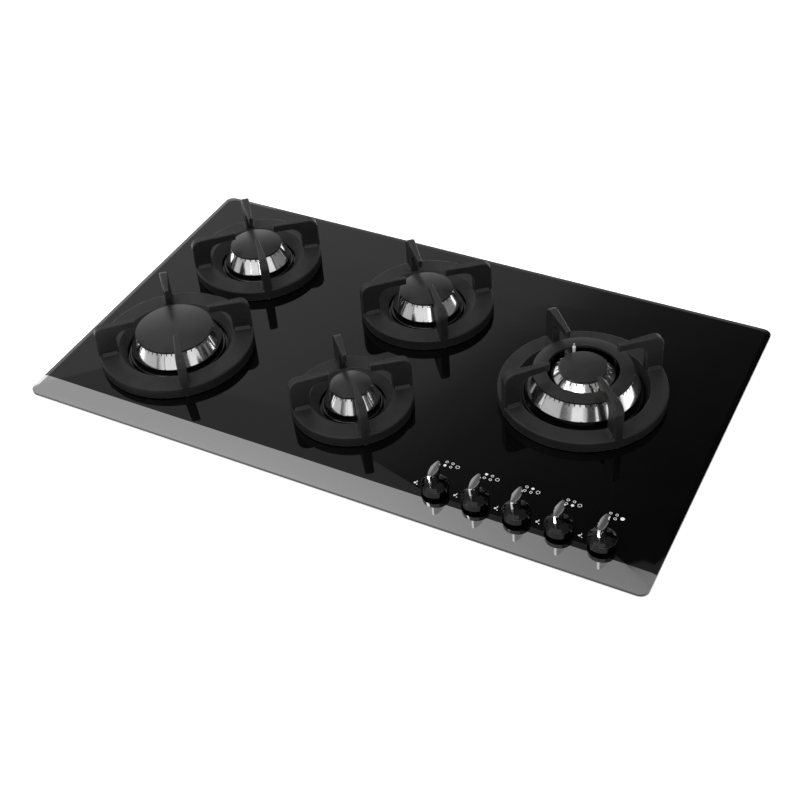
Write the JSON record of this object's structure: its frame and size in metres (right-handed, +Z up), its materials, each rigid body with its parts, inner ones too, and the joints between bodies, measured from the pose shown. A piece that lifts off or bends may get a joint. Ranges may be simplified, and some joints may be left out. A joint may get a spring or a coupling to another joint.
{
  "type": "gas cooktop",
  "caption": "Built-in gas cooktop with a frameless black glass top, round cast pan supports, capped burners, an offset wok burner and a row of front control knobs.",
  "frame": {"origin": "centre of the flat bottom of the burner box, under the centre of the glass panel", "axes": "+X along the long side towards the wok burner, +Y towards the back, +Z up"},
  "size_m": [0.86, 0.5, 0.123],
  "materials": {
    "black_glass": "black ceramic-coated tempered glass, glossy",
    "cast_iron": "matt black enamel",
    "black_enamel": "glossy black enamel",
    "cap_enamel": "matt black enamel on steel",
    "spreader_aluminium": "polished cast aluminium",
    "knob_chrome": "satin metal with bright edges",
    "silicone": "matt",
    "seal_foam": "closed-cell foam strip",
    "galvanised_steel": "pressed galvanised sheet",
    "brass": "machined",
    "tap_aluminium": "cast and drawn aluminium",
    "electrode_ceramic": "glazed",
    "probe_steel": "plain",
    "case_plastic": "moulded"
  },
  "bodies": {
    "root": {"glass_panel": "black_glass", "rim_seal": "seal_foam", "burner_box": "galvanised_steel", "burner_base_front_left": "black_enamel", "burner_base_back_left": "black_enamel", "burner_base_back_middle": "black_enamel", "burner_base_front_middle": "black_enamel", "burner_base_wok": "black_enamel", "tap_bodies": "tap_aluminium", "knob_grommets": "silicone", "gas_rail": "tap_aluminium", "gas_inlet": "brass", "gas_tubes": "tap_aluminium", "jet_holders": "tap_aluminium", "gas_jets": "brass", "burner_gaskets": "silicone", "spark_electrodes": "electrode_ceramic", "thermocouples": "probe_steel", "ignition_generator": "case_plastic", "ignition_switches": "case_plastic", "cable_gland": "case_plastic"},
    "support_front_left": {"pan_support_front_left": "cast_iron", "support_feet_front_left": "silicone"},
    "spreader_front_left": {"flame_spreader_front_left": "spreader_aluminium"},
    "cap_front_left": {"burner_cap_front_left": "cap_enamel"},
    "support_back_left": {"pan_support_back_left": "cast_iron", "support_feet_back_left": "silicone"},
    "spreader_back_left": {"flame_spreader_back_left": "spreader_aluminium"},
    "cap_back_left": {"burner_cap_back_left": "cap_enamel"},
    "support_back_middle": {"pan_support_back_middle": "cast_iron", "support_feet_back_middle": "silicone"},
    "spreader_back_middle": {"flame_spreader_back_middle": "spreader_aluminium"},
    "cap_back_middle": {"burner_cap_back_middle": "cap_enamel"},
    "support_front_middle": {"pan_support_front_middle": "cast_iron", "support_feet_front_middle": "silicone"},
    "spreader_front_middle": {"flame_spreader_front_middle": "spreader_aluminium"},
    "cap_front_middle": {"burner_cap_front_middle": "cap_enamel"},
    "support_wok": {"pan_support_wok": "cast_iron", "support_feet_wok": "silicone"},
    "spreader_wok": {"flame_spreader_wok": "spreader_aluminium"},
    "cap_wok": {"burner_cap_wok": "cap_enamel"},
    "inner_crown": {"wok_inner_crown": "spreader_aluminium"},
    "inner_cap": {"wok_inner_cap": "cap_enamel"},
    "pin_front_left": {"push_pin_front_left": "brass"},
    "control_front_left": {"knob_front_left": "knob_chrome", "tap_spindle_front_left": "brass"},
    "pin_back_left": {"push_pin_back_left": "brass"},
    "control_back_left": {"knob_back_left": "knob_chrome", "tap_spindle_back_left": "brass"},
    "pin_back_middle": {"push_pin_back_middle": "brass"},
    "control_back_middle": {"knob_back_middle": "knob_chrome", "tap_spindle_back_middle": "brass"},
    "pin_front_middle": {"push_pin_front_middle": "brass"},
    "control_front_middle": {"knob_front_middle": "knob_chrome", "tap_spindle_front_middle": "brass"},
    "pin_wok": {"push_pin_wok": "brass"},
    "control_wok": {"knob_wok": "knob_chrome", "tap_spindle_wok": "brass"}
  },
  "joints": [
    {"name": "lift_support_front_left", "type": "slide", "parent": "root", "child": "support_front_left", "axis": [0, 0, 1], "range_m": [0, 0.12]},
    {"name": "lift_spreader_front_left", "type": "slide", "parent": "root", "child": "spreader_front_left", "axis": [0, 0, 1], "range_m": [0, 0.06]},
    {"name": "lift_cap_front_left", "type": "slide", "parent": "spreader_front_left", "child": "cap_front_left", "axis": [0, 0, 1], "range_m": [0, 0.03]},
    {"name": "lift_support_back_left", "type": "slide", "parent": "root", "child": "support_back_left", "axis": [0, 0, 1], "range_m": [0, 0.12]},
    {"name": "lift_spreader_back_left", "type": "slide", "parent": "root", "child": "spreader_back_left", "axis": [0, 0, 1], "range_m": [0, 0.06]},
    {"name": "lift_cap_back_left", "type": "slide", "parent": "spreader_back_left", "child": "cap_back_left", "axis": [0, 0, 1], "range_m": [0, 0.03]},
    {"name": "lift_support_back_middle", "type": "slide", "parent": "root", "child": "support_back_middle", "axis": [0, 0, 1], "range_m": [0, 0.12]},
    {"name": "lift_spreader_back_middle", "type": "slide", "parent": "root", "child": "spreader_back_middle", "axis": [0, 0, 1], "range_m": [0, 0.06]},
    {"name": "lift_cap_back_middle", "type": "slide", "parent": "spreader_back_middle", "child": "cap_back_middle", "axis": [0, 0, 1], "range_m": [0, 0.03]},
    {"name": "lift_support_front_middle", "type": "slide", "parent": "root", "child": "support_front_middle", "axis": [0, 0, 1], "range_m": [0, 0.12]},
    {"name": "lift_spreader_front_middle", "type": "slide", "parent": "root", "child": "spreader_front_middle", "axis": [0, 0, 1], "range_m": [0, 0.06]},
    {"name": "lift_cap_front_middle", "type": "slide", "parent": "spreader_front_middle", "child": "cap_front_middle", "axis": [0, 0, 1], "range_m": [0, 0.03]},
    {"name": "lift_support_wok", "type": "slide", "parent": "root", "child": "support_wok", "axis": [0, 0, 1], "range_m": [0, 0.12]},
    {"name": "lift_spreader_wok", "type": "slide", "parent": "root", "child": "spreader_wok", "axis": [0, 0, 1], "range_m": [0, 0.06]},
    {"name": "lift_cap_wok", "type": "slide", "parent": "spreader_wok", "child": "cap_wok", "axis": [0, 0, 1], "range_m": [0, 0.03]},
    {"name": "lift_inner_crown", "type": "slide", "parent": "root", "child": "inner_crown", "axis": [0, 0, 1], "range_m": [0, 0.06]},
    {"name": "lift_inner_cap", "type": "slide", "parent": "inner_crown", "child": "inner_cap", "axis": [0, 0, 1], "range_m": [0, 0.03]},
    {"name": "push_front_left", "type": "slide", "parent": "root", "child": "pin_front_left", "axis": [0, 0, -1], "range_m": [0, 0.004], "stiffness_N_per_m": 1250, "springref_m": -0.003},
    {"name": "turn_front_left", "type": "hinge", "parent": "pin_front_left", "child": "control_front_left", "pos_m": [0.149, -0.201, 0.0615], "axis": [0, 0, 1], "range_deg": [0, 210]},
    {"name": "push_back_left", "type": "slide", "parent": "root", "child": "pin_back_left", "axis": [0, 0, -1], "range_m": [0, 0.004], "stiffness_N_per_m": 1250, "springref_m": -0.003},
    {"name": "turn_back_left", "type": "hinge", "parent": "pin_back_left", "child": "control_back_left", "pos_m": [0.2016, -0.201, 0.0615], "axis": [0, 0, 1], "range_deg": [0, 210]},
    {"name": "push_back_middle", "type": "slide", "parent": "root", "child": "pin_back_middle", "axis": [0, 0, -1], "range_m": [0, 0.004], "stiffness_N_per_m": 1250, "springref_m": -0.003},
    {"name": "turn_back_middle", "type": "hinge", "parent": "pin_back_middle", "child": "control_back_middle", "pos_m": [0.2542, -0.201, 0.0615], "axis": [0, 0, 1], "range_deg": [0, 210]},
    {"name": "push_front_middle", "type": "slide", "parent": "root", "child": "pin_front_middle", "axis": [0, 0, -1], "range_m": [0, 0.004], "stiffness_N_per_m": 1250, "springref_m": -0.003},
    {"name": "turn_front_middle", "type": "hinge", "parent": "pin_front_middle", "child": "control_front_middle", "pos_m": [0.3068, -0.201, 0.0615], "axis": [0, 0, 1], "range_deg": [0, 210]},
    {"name": "push_wok", "type": "slide", "parent": "root", "child": "pin_wok", "axis": [0, 0, -1], "range_m": [0, 0.004], "stiffness_N_per_m": 1250, "springref_m": -0.003},
    {"name": "turn_wok", "type": "hinge", "parent": "pin_wok", "child": "control_wok", "pos_m": [0.3594, -0.201, 0.0615], "axis": [0, 0, 1], "range_deg": [0, 210]}
  ],
  "couplings": [
    {"joint": "lift_spreader_front_left", "follows": "lift_support_front_left", "ratio": 0.5},
    {"joint": "lift_cap_front_left", "follows": "lift_support_front_left", "ratio": 0.25},
    {"joint": "lift_spreader_back_left", "follows": "lift_support_back_left", "ratio": 0.5},
    {"joint": "lift_cap_back_left", "follows": "lift_support_back_left", "ratio": 0.25},
    {"joint": "lift_spreader_back_middle", "follows": "lift_support_back_middle", "ratio": 0.5},
    {"joint": "lift_cap_back_middle", "follows": "lift_support_back_middle", "ratio": 0.25},
    {"joint": "lift_spreader_front_middle", "follows": "lift_support_front_middle", "ratio": 0.5},
    {"joint": "lift_cap_front_middle", "follows": "lift_support_front_middle", "ratio": 0.25},
    {"joint": "lift_spreader_wok", "follows": "lift_support_wok", "ratio": 0.5},
    {"joint": "lift_cap_wok", "follows": "lift_support_wok", "ratio": 0.25},
    {"joint": "lift_inner_crown", "follows": "lift_support_wok", "ratio": 0.5},
    {"joint": "lift_inner_cap", "follows": "lift_support_wok", "ratio": 0.25}
  ]
}
